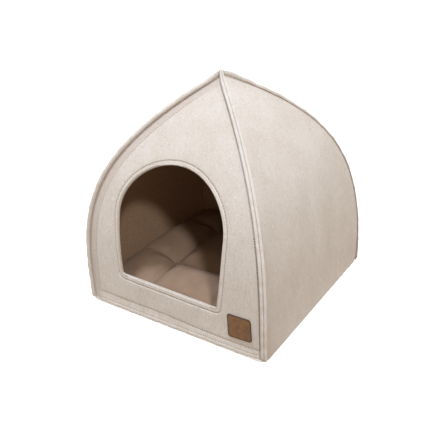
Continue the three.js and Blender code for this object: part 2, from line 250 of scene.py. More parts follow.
def pressed(wall, x, share):
    """Painted shade and darkening in the felt's colour.

    Painted shade is most at the foot of a seam: a dark line there, and more by how deep the felt sinks. The
    felt is also darker fully between a seam and its row, and low down beside its left seam, falling off up
    the wall and away from that seam."""
    from_left, from_right = from_seams(wall, x, share)
    amount = wall["soil"] * np.exp(-from_left / DARKER_LOW_WIDTH - length_at(share) / DARKER_LOW_HEIGHT)
    for end, far in (("left", from_left), ("right", from_right)):
        depth, width = wall[end + "_sink"]
        near = np.maximum(far - SEAM_FOOT, 0)
        # Painted shade: darker where the felt sinks into the seam, and a dark line along the seam's foot.
        sunk = depth / FULL_SINK * np.exp(-near / width)
        line = SEAM_LINE * wall["drawn"] * np.exp(-near / SEAM_LINE_WIDTH)
        amount = np.maximum(amount, np.maximum(sunk, line))
        if wall[end + "_row"] > BARE_ROW:
            outside = np.clip((far - wall[end + "_row"]) / STRIP_EDGE, -FAR_STEPS, FAR_STEPS)
            amount = np.maximum(amount, wall["drawn"] / (1 + np.exp(outside)))
    return amount


def felt_surface(wall, x, share, extra=0.0):
    """Outer face with its relief and any extra relief."""
    points, square = wall_face(wall, x, share)
    return points + square * (wall_relief(wall, x, share) + extra)[..., None]


UPRIGHT = np.array([0.0, 0.0, 1.0])


def corner_frame(seam, side, share):
    """Standing seam: its root on the corner, the way it stands out, the way across it, and the inner corner.

    It stands square to the corner, turns upright and tucks in at the peak, and leans by the seam's lean. Its
    thickness falls off as the corners close in on the peak."""
    half = corner_half(seam, share)
    slope = corner_slope(seam, share)
    height = WALL_FOOT + share * WALL_RISE
    peak = share[:, None] ** PEAK_POWER
    diagonal = unit(np.array([side, -1.0, 0.0]))
    own_side = unit(np.array([-side, -1.0, 0.0]))
    square = unit(diagonal - UPRIGHT * (np.sqrt(2) * slope)[:, None])
    standing = unit(mix(square, unit(UPRIGHT - PEAK_TUCK * diagonal), peak))
    lean = side * np.radians(seam["lean"]) * bump(share, LEAN_SHARE, LEAN_SPREAD)[:, None]
    length = np.hypot(1, slope)
    inner_half = np.maximum(half - FELT_THICK / length, CLEARANCE)
    inner_height = height + FELT_THICK * slope / length * (1 - peak[:, 0])
    inner_x = side * (inner_half - CLEARANCE / np.sqrt(2))
    thin = 1 - np.exp(-half / SEAM_THINNING)
    return {
        "root": np.stack([side * half, -half, height], -1),
        "reach": standing * np.cos(lean) + own_side * np.sin(lean),
        "across": own_side * np.cos(lean) - standing * np.sin(lean),
        "inner": np.stack([inner_x, -inner_half, inner_height], -1),
        "foot_x": side * (half - np.sqrt(2) * (CLEARANCE / 2 + SEAM_PINCHED * thin)),
        "pinched": SEAM_PINCHED * thin,
        "full": SEAM_FULL * thin,
        "length": mix(mix(seam["reach"], seam["reach_high"], share**REACH_POWER), PEAK_REACH, peak[:, 0]),
    }


# Section of one felt edge of a standing seam: shares of the way up its outer side, angles round its cut edge,
# shares of the way back down its inner side, and the painted shade on its points
SIDE_STEPS = np.array([0.10, 0.22, 0.36, 0.52, 0.68, 0.84, 1.0])
TURN = np.linspace(0, np.pi, 9)[1:-1]
BACK_STEPS = np.array([1.0, 0.66, 0.33, 0.0])
SEAM_POINTS = len(SIDE_STEPS) + len(TURN) + len(BACK_STEPS)
SIDE_BULGE, BULGE_SHARE, BULGE_SPREAD = 0.0013, 0.6, 0.25
SEAM_EDGE_SHADE = np.concatenate([[SEAM_LINE, 1.1, 0.4], np.zeros(SEAM_POINTS - 3)])


def seam_edge(wall, end, share):
    """One felt edge of a standing seam: up from the sunk wall, round the cut edge and down to the root.

    The outer side is a line from the wall to the shoulder that bulges above its middle. The cut edge is half
    an ellipse. The edge is uneven in height, and short and thin where it starts at the ground."""
    seam = wall[end]
    corner = corner_frame(seam, -1 if end == "left" else 1, share)
    length = length_at(share)
    start = np.sqrt(1 - (1 - np.clip(length / SEAM_START, 0, 1)) ** 2)
    slow, quick = (np.sin(length / SEAM_WAVES[k] + (k + 1) * seam["wave"]) for k in (0, 1))
    uneven = 1 + SEAM_UNEVEN * slow + SEAM_UNEVEN * quick
    height = (corner["length"] * mix(SEAM_START_SHARE, 1.0, start) * uneven)[:, None, None]
    full = mix(corner["pinched"], corner["full"], start)[:, None, None]
    root, reach, across = (corner[part][:, None] for part in ("root", "reach", "across"))
    rounding = np.minimum(SEAM_ROUND, 0.5 * height)

    foot = felt_surface(wall, corner["foot_x"], share)[:, None]
    shoulder = root + reach * (height - rounding) + across * (full + CLEARANCE / 2)
    steps = SIDE_STEPS[None, :, None]
    outer_side = mix(foot, shoulder, steps) + across * SIDE_BULGE * bump(steps, BULGE_SHARE, BULGE_SPREAD)
    turn = TURN[None, :, None]
    round_edge = (root + reach * (height - rounding + rounding * np.sin(turn))
                  + across * (full * (0.5 + 0.5 * np.cos(turn)) + CLEARANCE / 2))
    inner_side = root + reach * (height - rounding) * BACK_STEPS[None, :, None] + across * CLEARANCE / 2
    return np.concatenate([outer_side, round_edge, inner_side], axis=1)


# Section of the ground edge below the wall: share of its reach, and height, round to the underside
FOOT_REACH = np.array([1.02, 1.03, 0.99, 0.88, 0.70])
FOOT_HEIGHT = np.array([0.0048, 0.0041, 0.0034, 0.0029, EDGE_BOTTOM])
EDGE_TURN_SHARE = 0.7


def grid_quads(rows, columns, around_rows=False, around_columns=False):
    """Quads of a grid of points numbered row by row; a direction that goes around is closed on itself."""
    row = np.arange(rows if around_rows else rows - 1)[:, None]
    column = np.arange(columns if around_columns else columns - 1)[None, :]
    above = (row + 1) % rows
    right = (column + 1) % columns
    start, end = row * columns, above * columns
    return np.stack([start + column, start + right, end + right, end + column], -1).reshape(-1, 4)


def add_mesh(name, points, faces, quarter=0, lined=(), painted_dark=None):
    """A smooth mesh of points and faces, turned by quarter turns round the upright axis, at the origin.

    The faces that are lined take the piece's second material. The last argument is how much painted shade and
    darkening each point's colour carries."""
    mesh = bpy.data.meshes.new(name)
    mesh.from_pydata(np.asarray(points).reshape(-1, 3), [], faces)
    mesh.transform(Matrix.Rotation(quarter * np.pi / 2, 4, "Z"))
    mesh.shade_smooth()
    if len(lined):
        inside = np.zeros(len(mesh.polygons), dtype=np.int32)
        inside[: len(lined)] = lined
        mesh.polygons.foreach_set("material_index", inside)
    if painted_dark is not None:
        mesh.attributes.new("pressed", "FLOAT", "POINT").data.foreach_set("value", painted_dark.ravel())
    piece = bpy.data.objects.new(name, mesh)
    bpy.context.scene.collection.objects.link(piece)
    return piece


FOOT_BAND, FOOT_ROWS, WALL_ROWS = 0.034, 30, 150
SEAM_BAND, SEAM_BAND_MOST, SEAM_COLUMNS, WALL_COLUMNS = 0.026, 0.45, 19, 62
LOW_SHADE_FADE = 1.5


def plain_wall(wall, quarter):
    """Wall with no doorway: closed sections, level with the ground, carried from the foot to the peak.

    A section goes along the outer face, round the right seam edge, back along the inner face and round the
    left seam edge. Columns lie close together near the seams, and rows near the foot."""
    low_rows = np.linspace(0, FOOT_BAND, FOOT_ROWS)
    high_rows = np.linspace(FOOT_BAND, length_at(TOP_SHARE), WALL_ROWS)[1:]
    share = share_at(np.concatenate([low_rows, high_rows]))
    left = corner_frame(wall["left"], -1, share)
    right = corner_frame(wall["right"], 1, share)
    width = right["foot_x"] - left["foot_x"]
    close = np.minimum(SEAM_BAND, SEAM_BAND_MOST * width)[:, None]
    near = np.linspace(0, 1, SEAM_COLUMNS)[None, :]
    between = np.linspace(0, 1, WALL_COLUMNS)[None, 1:-1]
    left_x = left["foot_x"][:, None]
    right_x = right["foot_x"][:, None]
    x = np.concatenate([
        left_x + close * near,
        mix(left_x + close, right_x - close, between),
        right_x - close * near[:, ::-1],
    ], axis=1)
    along = (x - left_x) / width[:, None]
    outer = felt_surface(wall, x, share[:, None] + 0 * x)
    inner = mix(left["inner"][:, None], right["inner"][:, None], along[..., None])
    right_seam = seam_edge(wall, "right", share)
    left_seam = seam_edge(wall, "left", share)
    sections = np.concatenate([outer, right_seam, inner[:, ::-1], left_seam[:, ::-1]], axis=1)

    columns = x.shape[1]
    foot = np.repeat(sections[:1], len(FOOT_REACH), axis=0)
    foot[:, :columns, 1] = mix(-BASE_HALF, outer[0, :, 1][None, :], FOOT_REACH[:, None])
    foot[..., 2] = FOOT_HEIGHT[:, None]
    points = np.concatenate([foot[::-1], sections])
    rows, ring = points.shape[:2]
    painted_dark = np.zeros((rows, ring))
    painted_dark[len(foot):, :columns] = pressed(wall, x, share[:, None] + 0 * x)
    # Painted shade on the seam edges, low on their outer sides, and more at the back right seam low down.
    fading = np.concatenate([np.ones(len(foot)), 1 - share**LOW_SHADE_FADE])[:, None]
    painted_dark[:, columns : columns + SEAM_POINTS] = wall["drawn"] * SEAM_EDGE_SHADE + wall["right"]["soil"] * fading
    painted_dark[:, ring - SEAM_POINTS :] = wall["drawn"] * SEAM_EDGE_SHADE[::-1] + wall["left"]["soil"] * fading
    painted_dark[: len(foot), :columns] = painted_dark[len(foot), :columns]
    faces = grid_quads(rows, ring, around_columns=True).tolist()
    place = np.tile(np.arange(ring), rows - 1)
    lined = (place >= columns + SEAM_POINTS) & (place < 2 * columns + SEAM_POINTS - 1)
    for start, turn in ((0, -1), ((rows - 1) * ring, 1)):
        outer_line = start + np.arange(columns)
        inner_line = start + 2 * columns + SEAM_POINTS - 1 - np.arange(columns)
        strip = np.stack([outer_line[:-1], outer_line[1:], inner_line[1:], inner_line[:-1]], -1)
        right_end = start + np.arange(columns - 1, columns + SEAM_POINTS + 1)
        left_end = start + np.append(np.arange(2 * columns + SEAM_POINTS - 1, ring), 0)
        faces += strip[:, ::turn].tolist() + [right_end[::turn].tolist(), left_end[::turn].tolist()]
    return add_mesh("felt_" + wall["name"], points, faces, quarter, lined, painted_dark)


class Wire:
    """A socket in a material's nodes. Arithmetic between wires and numbers adds Math nodes."""

    def __init__(self, tree, socket):
        self.tree = tree
        self.socket = socket

    def node(self, kind, settings, inputs, output=0):
        """A node of that kind: first its settings, a ramp's stops too, then its sockets' values or links."""
        made = self.tree.nodes.new(kind)
        for name, value in settings.items():
            if name == "stops":
                ramp = made.color_ramp.elements
                while len(ramp) < len(value):
                    ramp.new(1.0)
                for element, (place, colour) in zip(ramp, value):
                    element.position = place
                    element.color = (*colour, 1)
            else:
                setattr(made, name, value)
        for name, value in inputs.items():
            if isinstance(value, Wire):
                self.tree.links.new(value.socket, made.inputs[name])
            else:
                made.inputs[name].default_value = value
        return Wire(self.tree, made.outputs[output])

    def math(self, operation, first, second):
        """A Math node of two values."""
        return self.node("ShaderNodeMath", {"operation": operation}, {0: first, 1: second})

    def __add__(self, other):
        return self.math("ADD", self, other)

    def __mul__(self, other):
        return self.math("MULTIPLY", self, other)

    __radd__ = __add__
    __rmul__ = __mul__

    def noise(self, scale, detail=2.0, rough=0.5):
        """Noise on these coordinates, with a scale along each axis."""
        place = self.node("ShaderNodeMapping", {}, {"Vector": self, "Scale": scale})
        settings = {"Scale": 1.0, "Detail": detail, "Roughness": rough}
        return self.node("ShaderNodeTexNoise", {}, {"Vector": place, **settings})

    def ramp(self, *stops):
        """This value read off a colour ramp."""
        return self.node("ShaderNodeValToRGB", {"stops": stops}, {"Fac": self})

    def grade(self, low, high):
        """This value stretched so that low becomes zero and high one, and held there."""
        return self.node("ShaderNodeMapRange", {}, {"Value": self, "From Min": low, "From Max": high})

    def blend(self, first, second):
        """Colour blend of first and second by this value."""
        return self.node("ShaderNodeMix", {"data_type": "RGBA"}, {0: self, 6: first, 7: second}, output=2)

    def bump(self, strength, distance):
        """Normal of a surface that this value raises."""
        return self.node("ShaderNodeBump", {}, {"Strength": strength, "Distance": distance, "Height": self})


def new_material(name, **constants):
    """A material, its shader with the constant values set, and its Object coordinates."""
    material = bpy.data.materials.new(name)
    material.use_nodes = True
    tree = material.node_tree
    shader = tree.nodes["Principled BSDF"]
    for socket, value in constants.items():
        shader.inputs[socket.replace("_", " ")].default_value = value
    where = Wire(tree, tree.nodes.new("ShaderNodeTexCoord").outputs["Object"])
    return material, shader, where


def feed(shader, **wires):
    """Links wires to a shader's sockets."""
    for socket, wire in wires.items():
        wire.tree.links.new(wire.socket, shader.inputs[socket.replace("_", " ")])


def felt_material():
    """Beige felt: light and dark fibres, upright streaks and slow mottling, with a fibrous raised grain.

    It is browner where the mesh carries painted shade and darkening."""
    material, shader, where = new_material(
        "felt", Sheen_Weight=0.25, Sheen_Roughness=0.5, Specular_IOR_Level=0.15)
    mottle = where.noise((26, 26, 14), 3.0)
    cloud = where.noise((130, 130, 70), 2.0, 0.6)
    streak = where.noise((310, 310, 80), 3.0, 0.6)
    fibre = where.noise((900, 900, 420), 3.0, 0.65)
    fleck = where.noise((300, 300, 170), 1.0)
    base = mottle.ramp((0.30, (0.560, 0.524, 0.497)), (0.70, (0.622, 0.600, 0.594)))
    clouded = (cloud.grade(0.35, 0.70) * 0.18).blend(base, (0.450, 0.385, 0.325, 1))
    streaked = (streak.grade(0.35, 0.70) * 0.30).blend(clouded, (0.780, 0.755, 0.718, 1))
    heather = (fibre.grade(0.40, 0.75) * 0.46).blend(streaked, (0.400, 0.340, 0.285, 1))
    specked = (fleck.grade(0.36, 0.24) * 0.40).blend(heather, (0.330, 0.270, 0.220, 1))
    lint = (fleck.grade(0.66, 0.78) * 0.40).blend(specked, (0.880, 0.855, 0.830, 1))
    # The felt turns browner by the painted shade and darkening that the mesh carries.
    painted_dark = where.node("ShaderNodeAttribute", {"attribute_name": "pressed"}, {}, output=2)
    shaded_felt = (painted_dark * 0.40).blend(lint, (0.400, 0.325, 0.285, 1))
    grain = fibre * 0.5 + streak * 0.4 + fleck * 0.3
    feed(shader, Base_Color=shaded_felt, Roughness=0.86 + fibre * 0.16, Normal=grain.bump(0.55, 0.0016))
    return material


def lining_material():
    """Inner side of the felt: a plain, darker tan nap, with a faint warm glow painted on, for light through
    it.
    """
    # The faint warm emission is a painted glow that lightens the shade inside.
    material, shader, where = new_material(
        "felt_inside", Sheen_Weight=0.1, Specular_IOR_Level=0.1, Roughness=0.95,
        Emission_Color=(0.60, 0.27, 0.13, 1), Emission_Strength=0.017)
    nap = where.noise((380, 380, 240), 3.0, 0.6)
    tan = nap.ramp((0.30, (0.245, 0.153, 0.093)), (0.70, (0.340, 0.224, 0.144)))
    feed(shader, Base_Color=tan, Normal=nap.bump(0.3, 0.001))
    return material


felt = felt_material()
felt_inside = lining_material()
plain_walls = [plain_wall(wall, quarter) for quarter, wall in enumerate(WALLS) if quarter > 0]


# Front wall. The same felt, with the arched doorway cut square through it. Two layers of felt show on the cut
# edge, which is rounded. A low rim runs round the doorway, drawn in along its outer side by stitches.
DOOR_CENTRE = -0.0013
DOOR_SILL_LEFT = 0.0803
DOOR_SILL_RIGHT = 0.0755
DOOR_SPRING = 0.1985
DOOR_TOP = 0.293
DOOR_SILL_REACH_LEFT = 0.1064
DOOR_SILL_REACH_RIGHT = 0.101
DOOR_SPRING_HALF = 0.110
DOOR_CORNER = 0.005
SILL_STEPS, CORNER_STEPS, JAMB_STEPS, ARCH_STEPS = 50, 20, 60, 160
RIM_WIDTH = 0.0080
SILL_RIM_WIDTH = 0.0098
RIM_RISE = 0.0005
RIM_GROOVE, RIM_GROOVE_WIDTH = 0.0012, 0.0012
RIM_LINE, RIM_LINE_SHARE, RIM_LINE_WIDTH = 0.0004, 0.45, 0.0008
RIM_SWELL, RIM_SWELL_START, RIM_SWELL_REACH = 0.0011, 0.005, 0.022
RIM_PINCH, RIM_PINCH_REACH = 0.0024, 0.008
# The doorway's cut edge and the stitch groove round it carry painted shade.
LIP_START, LIP_INSIDE, LIP_ROUND, LIP_SHADE = 0.0014, 0.0022, 0.0016, 0.6
RIM_SHADE, RIM_SHADE_WIDTH = 0.9, 0.0011
DOOR_BAND = 0.016
GROUND_POINTS, RISING_POINTS = 150, 190
RIM_COLUMNS, FACE_COLUMNS, MARGIN_COLUMNS, INNER_COLUMNS = 30, 18, 26, 16


def straight(start, end, steps):
    """Points of a straight line, without its last one."""
    return mix(np.array(start), np.array(end), np.linspace(0, 1, steps, endpoint=False)[:, None])


def quadratic(start, control, end, steps):
    """Points of a quadratic curve, without its last one."""
    share = np.linspace(0, 1, steps, endpoint=False)[:, None]
    start, control, end = np.array(start), np.array(control), np.array(end)
    return start * (1 - share) ** 2 + control * 2 * share * (1 - share) + end * share**2


def door_outline():
    """Doorway from the front, anticlockwise from mid sill: straight sill, curved corners and sides, arch."""
    left, right = DOOR_CENTRE - DOOR_SILL_REACH_LEFT, DOOR_CENTRE + DOOR_SILL_REACH_RIGHT
    spring_left, spring_right = DOOR_CENTRE - DOOR_SPRING_HALF, DOOR_CENTRE + DOOR_SPRING_HALF
    middle = (DOOR_SILL_LEFT + DOOR_SPRING) / 2
    sill_middle = (DOOR_SILL_LEFT + DOOR_SILL_RIGHT) / 2
    turn = np.linspace(0, np.pi, ARCH_STEPS, endpoint=False)
    arch = np.stack([np.cos(turn) * DOOR_SPRING_HALF + DOOR_CENTRE,
                     np.sin(turn) * (DOOR_TOP - DOOR_SPRING) + DOOR_SPRING], -1)
    right_start = (right - DOOR_CORNER, DOOR_SILL_RIGHT)
    right_end = (right, DOOR_SILL_RIGHT + DOOR_CORNER)
    left_start = (left, DOOR_SILL_LEFT + DOOR_CORNER)
    left_end = (left + DOOR_CORNER, DOOR_SILL_LEFT)
    sill = (DOOR_CENTRE, sill_middle)
    return np.concatenate([
        straight(sill, right_start, SILL_STEPS),
        quadratic(right_start, (right, DOOR_SILL_RIGHT), right_end, CORNER_STEPS),
        quadratic(right_end, (spring_right, middle), (spring_right, DOOR_SPRING), JAMB_STEPS),
        arch,
        quadratic((spring_left, DOOR_SPRING), (spring_left, middle), left_start, JAMB_STEPS),
        quadratic(left_start, (left, DOOR_SILL_LEFT), left_end, CORNER_STEPS),
        straight(left_end, sill, SILL_STEPS + 1),
    ])


def walk(points, places, *others):
    """Points at given lengths along a line of points, followed by the values of other arrays there."""
    steps = np.linalg.norm(np.diff(points, axis=0), axis=1)
    lengths = np.concatenate([[0], np.cumsum(steps)])
    every = np.concatenate([points, *others], axis=1)
    return np.stack([np.interp(places, lengths, column) for column in every.T], -1)


def line_length(points):
    """Length of a line of points."""
    return np.linalg.norm(np.diff(points, axis=0), axis=1).sum()


def door_in_felt():
    """Doorway outline in the flat cut: across the felt, and along its bow from the foot; closed."""
    outline = door_outline()
    felt_length = length_at((outline[:, 1] - WALL_FOOT) / WALL_RISE)
    flat = np.stack([outline[:, 0], felt_length], -1)
    return np.concatenate([flat, flat[:1]])


def outward(loop):
    """Directions square to a closed loop in the flat cut, out of it, from its neighbouring points."""
    ahead = unit(np.roll(loop, -1, axis=0) - np.roll(loop, 1, axis=0))
    return np.stack([ahead[:, 1], -ahead[:, 0]], -1)


def door_relief(past, width):
    """Felt round the doorway: a low rim with a faint line along it, a groove at the stitches, then a puff."""
    rim = RIM_RISE * np.sin(np.pi * np.clip(past / width, 0, 1))
    groove = RIM_GROOVE * bump(past, width, RIM_GROOVE_WIDTH)
    line = RIM_LINE * bump(past, RIM_LINE_SHARE * width, RIM_LINE_WIDTH)
    beyond = np.maximum(past - width, 0)
    swell = RIM_SWELL * (1 - np.exp(-beyond / RIM_SWELL_START)) * np.exp(-beyond / RIM_SWELL_REACH)
    return rim - (groove + line) + swell


def door_points(ground_steps, side_steps):
    """Points round the doorway in the flat cut: along the sill, up the right side, and down the left."""
    outline = door_in_felt()
    total = line_length(outline)
    right_corner = line_length(outline[: SILL_STEPS + CORNER_STEPS // 2 + 1])
    top = line_length(outline[: SILL_STEPS + CORNER_STEPS + JAMB_STEPS + ARCH_STEPS // 2 + 1])
    left_corner = total - line_length(outline[-(SILL_STEPS + CORNER_STEPS // 2 + 2) :])
    places = np.concatenate([
        np.linspace(left_corner, total + right_corner, ground_steps, endpoint=False),
        np.linspace(right_corner, top, side_steps, endpoint=False) + total,
        np.linspace(top, left_corner, side_steps, endpoint=False) + total,
    ])
    return walk(np.concatenate([outline, outline[1:], outline[1:]]), places)


def ground_edge(x, edge_y):
    """Rounded edge of the front wall at the ground: from the foot of its face to the back of the felt."""
    steps = np.linspace(0, 1, SEAM_POINTS)
    knots = np.append(np.linspace(0, EDGE_TURN_SHARE, len(FOOT_REACH)), 1)
    reach = np.interp(steps, knots, np.append(FOOT_REACH, 0))
    height = np.interp(steps, knots, np.append(FOOT_HEIGHT, EDGE_BOTTOM))
    inward = np.interp(steps, knots, np.append(0 * FOOT_REACH, FELT_THICK))
    y = mix(-BASE_HALF, edge_y[:, None], reach) + inward
    return np.stack([x[:, None] + 0 * y, y, height + 0 * y], -1)


def cut_edge(wall, door, out):
    """Cut edge of the doorway from inside to outside: half an ellipse for each of the two layers of felt."""
    layer = (FELT_THICK - RIM_PINCH) / 2
    turn = np.linspace(-np.pi / 2, np.pi / 2, 7)
    bulge = LIP_ROUND * (1 - np.cos(turn))
    depth = layer * (0.5 - 0.5 * np.sin(turn))
    edge_in = np.concatenate([bulge[:-1], bulge])
    edge_depth = np.concatenate([layer + depth[:-1], depth])
    flat = door[:, None] + out[:, None] * edge_in[None, :, None]
    points, square = wall_face(wall, flat[..., 0], share_at(flat[..., 1]))
    return points - square * edge_depth[None, :, None]


def wall_rim(ground_x, right_x, left_x, lengths):
    """Rim of a wall in the flat cut: along the ground, up the right side and down the left."""
    return np.concatenate([
        np.stack([ground_x, 0 * ground_x], -1),
        np.stack([right_x, lengths], -1),
        np.stack([left_x, lengths], -1)[::-1],
    ])


def front_wall(wall):
    """Wall with the doorway: a closed section carried round the doorway, and so a closed ring.

    A section goes from the doorway out along the outer face, first square to the outline and then straight to
    the foot of the seam, round the seam edge or the ground edge, back along the inner face and round the cut
    edge of the doorway."""
    seam_lengths = np.linspace(0, length_at(TOP_SHARE), RISING_POINTS)
    share = share_at(seam_lengths)
    left = corner_frame(wall["left"], -1, share)
    right = corner_frame(wall["right"], 1, share)
    ground = np.linspace(0, 1, GROUND_POINTS + 2)[1:-1]
    ground_x = mix(left["foot_x"][0], right["foot_x"][0], ground)
    inner_half = BASE_HALF - FELT_THICK
    inner_ground_x = mix(-inner_half, inner_half, ground)
    rim = wall_rim(ground_x, right["foot_x"], left["foot_x"], seam_lengths)
    inner_rim = wall_rim(inner_ground_x, right["inner"][:, 0], left["inner"][:, 0], seam_lengths)
    door = door_points(GROUND_POINTS, RISING_POINTS)
    out = outward(door)
    width = mix(RIM_WIDTH, SILL_RIM_WIDTH, np.clip(-out[:, 1:], 0, 1))

    near = np.concatenate([[LIP_START], np.linspace(LIP_INSIDE, DOOR_BAND, RIM_COLUMNS)])
    far_edge = door + out * DOOR_BAND
    reach = np.linalg.norm(rim - far_edge, axis=1, keepdims=True)
    margin = 1 - SEAM_BAND / reach
    spread = np.concatenate([
        margin * np.linspace(0, 1, FACE_COLUMNS)[None, 1:],
        mix(margin, 1.0, np.linspace(0, 1, MARGIN_COLUMNS)[None, 1:]),
    ], axis=1)
    flat = np.concatenate([
        door[:, None] + out[:, None] * near[None, :, None],
        mix(far_edge[:, None], rim[:, None], spread[..., None]),
    ], axis=1)
    past = np.concatenate([near + 0 * reach, DOOR_BAND + spread * reach], axis=1)
    outer = felt_surface(wall, flat[..., 0], share_at(flat[..., 1]), door_relief(past, width))

    edges = np.concatenate([
        ground_edge(ground_x, outer[:GROUND_POINTS, -1, 1]),
        seam_edge(wall, "right", share),
        seam_edge(wall, "left", share)[::-1],
    ])

    inner_door = door + out * LIP_INSIDE
    inner_steps = np.linspace(0, 1, INNER_COLUMNS)[None, :, None]
    inner_flat = mix(inner_rim[:, None], inner_door[:, None], inner_steps)
    inner_points, inner_square = wall_face(wall, inner_flat[..., 0], share_at(inner_flat[..., 1]))
    from_door = np.linalg.norm(inner_flat - inner_door[:, None], axis=-1, keepdims=True)
    inner = inner_points - inner_square * (FELT_THICK - RIM_PINCH * np.exp(-from_door / RIM_PINCH_REACH))
    lip = cut_edge(wall, door, out)

    points = np.concatenate([outer, edges, inner, lip], axis=1)
    loop, section = points.shape[:2]
    faces = grid_quads(loop, section, around_rows=True, around_columns=True)
    place = np.tile(np.arange(section), loop)
    columns = outer.shape[1]
    lined_from = columns + SEAM_POINTS
    lined = (place >= lined_from) & (place < lined_from + inner.shape[1] - 1)
    painted_dark = np.zeros((loop, section))
    painted_dark[:, :columns] = pressed(wall, flat[..., 0], share_at(flat[..., 1]))
    # Painted shade in the stitch groove round the doorway, on the seam edges and on the doorway's cut edge.
    painted_dark[:, :columns] += RIM_SHADE * bump(past, width, RIM_SHADE_WIDTH)
    painted_dark[GROUND_POINTS:, columns:lined_from] = SEAM_EDGE_SHADE
    painted_dark[:, -lip.shape[1] :] = LIP_SHADE
    return add_mesh("felt_" + wall["name"], points, faces.tolist(), lined=lined, painted_dark=painted_dark)


front = front_wall(WALLS[0])


def flat_area(wall):
    """Area of a wall's flat cut: its width along the bow, with both seam edges and the ground edge."""
    share = np.linspace(0, TOP_SHARE, 400)
    width = corner_half(wall["left"], share) + corner_half(wall["right"], share) + 2 * SEAM_REACH
    return np.trapz(width, length_at(share)) + 2 * BASE_HALF * EDGE_REACH


def loop_area(flat):
    """Area inside a closed loop in the flat cut: half the sum of the cross products of its points."""
    x, y = flat.T
    return 0.5 * np.sum(x[:-1] * y[1:] - x[1:] * y[:-1])


for wall, piece in zip(WALLS, [front, *plain_walls]):
    piece.data.materials.append(felt)
    piece.data.materials.append(felt_inside)
    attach(piece, "root")
    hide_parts(wall["name"])
    area = flat_area(wall) - (loop_area(door_in_felt()) if piece is front else 0)


# Stitches. Thick thread in short even stitches, pressed into the felt: inside the edges of the walls, low on
# both sides of each standing seam, round the doorway, and along the ground edge. The thread is a beige darker
# than the felt, and its colour is darkened further with painted shade of the stitch grooves. Low down beside
# the front right seam short stitches lie across the felt, one above the other.
STITCH_PITCH = 0.0052
STITCH_LENGTH = 0.0036
STITCH_RADIUS = 0.00052
STITCH_SHARES = np.array([-0.5, -0.3, 0.0, 0.3, 0.5])
STITCH_ARCH = np.array([-0.00075, 0.00005, 0.0002, 0.00005, -0.00075])
STITCH_THICK = np.array([0.6, 1.0, 1.0, 1.0, 0.6])
CROSS_FROM, CROSS_TO, CROSS_PITCH = 0.016, 0.215, 0.0040
CROSS_NEAR, CROSS_FAR = 0.0062, 0.0104
SEAM_ROW_SHARE, SEAM_ROW_GAP = 0.28, 0.012
GROUND_ROW_SHARE = 0.95
THREAD_SIDES = 6


def spaced(length):
    """Places along a row of stitches: for each stitch, its own few places, from its start to its end."""
    middles = np.arange(STITCH_PITCH / 2, length - STITCH_PITCH / 2, STITCH_PITCH)
    return middles[:, None] + STITCH_SHARES[None, :] * STITCH_LENGTH


def on_felt(wall, flat, lift=0.0):
    """Stitches along a line in the flat cut, lifted off the wall's own relief, with the ways square to it."""
    places = spaced(line_length(flat))
    x, length = np.moveaxis(walk(flat, places.ravel()).reshape(*places.shape, 2), -1, 0)
    square = wall_face(wall, x, share_at(length))[1]
    rise = STITCH_ARCH[None, :, None] + lift
    return felt_surface(wall, x, share_at(length)) + square * rise, square


def on_line(points, square):
    """Stitches along a line in space with the ways square to it."""
    places = spaced(line_length(points))
    both = walk(points, places.ravel(), square).reshape(*places.shape, 6)
    return both[..., :3] + both[..., 3:] * STITCH_ARCH[None, :, None], both[..., 3:]


def margin_lines(wall):
    """Rows of stitches on a wall, in the flat cut: along the foot, and up each side that has a row."""
    share = np.linspace(0.0, TOP_SHARE, 900)
    length = length_at(share)
    left = -corner_half(wall["left"], share) + wall["left_row"] / slant(wall["left"], share)
    right = corner_half(wall["right"], share) - wall["right_row"] / slant(wall["right"], share)
    up = (left < right) & (length > foot_row(wall, left))
    down = (left < right) & (length > foot_row(wall, right))
    rows = []
    if wall["foot_row"] > NO_ROW:
        foot_x = np.linspace(right[down][0], left[up][0], 200)
        rows.append(np.stack([foot_x, foot_row(wall, foot_x)], -1))
    if wall["left_row"] > BARE_ROW:
        rows.append(np.stack([left[up], length[up]], -1))
    if wall["right_row"] > BARE_ROW:
        rows.append(np.stack([right[down], length[down]], -1))
    return rows


def cross_stitches(wall):
    """Short stitches across the felt beside the wall's right seam, one above the other to half way up."""
    lengths = np.arange(CROSS_FROM, CROSS_TO, CROSS_PITCH)
    length, aside = np.meshgrid(lengths, np.linspace(CROSS_NEAR, CROSS_FAR, len(STITCH_ARCH)), indexing="ij")
    share = share_at(length)
    x = corner_half(wall["right"], share) - aside / slant(wall["right"], share)
    square = wall_face(wall, x, share)[1]
    return felt_surface(wall, x, share) + square * STITCH_ARCH[None, :, None], square


def seam_row(wall, end):
    """Row of stitches low on one side of a standing seam, from near the ground to near the peak."""
    share = np.linspace(share_at(SEAM_ROW_GAP), share_at(length_at(TOP_SHARE) - SEAM_ROW_GAP), 400)
    step = np.interp(SEAM_ROW_SHARE, SIDE_STEPS, np.arange(len(SIDE_STEPS)))
    edge = seam_edge(wall, end, share)
    lower = int(step)
    line = mix(edge[:, lower], edge[:, lower + 1], step - lower)
    return line, corner_frame(wall[end], -1 if end == "left" else 1, share)["across"]


def ground_row():
    """Row of stitches along the ground edge, in the flat cut."""
    x = np.linspace(-GROUND_ROW_SHARE, GROUND_ROW_SHARE, 200) * BASE_HALF
    return np.stack([x, 0 * x + EDGE_ROW], -1)


def turned(vectors, quarter):
    """Vectors turned by quarter turns round the upright axis."""
    turn = np.array(Matrix.Rotation(quarter * np.pi / 2, 3, "Z"))
    return vectors @ turn.T


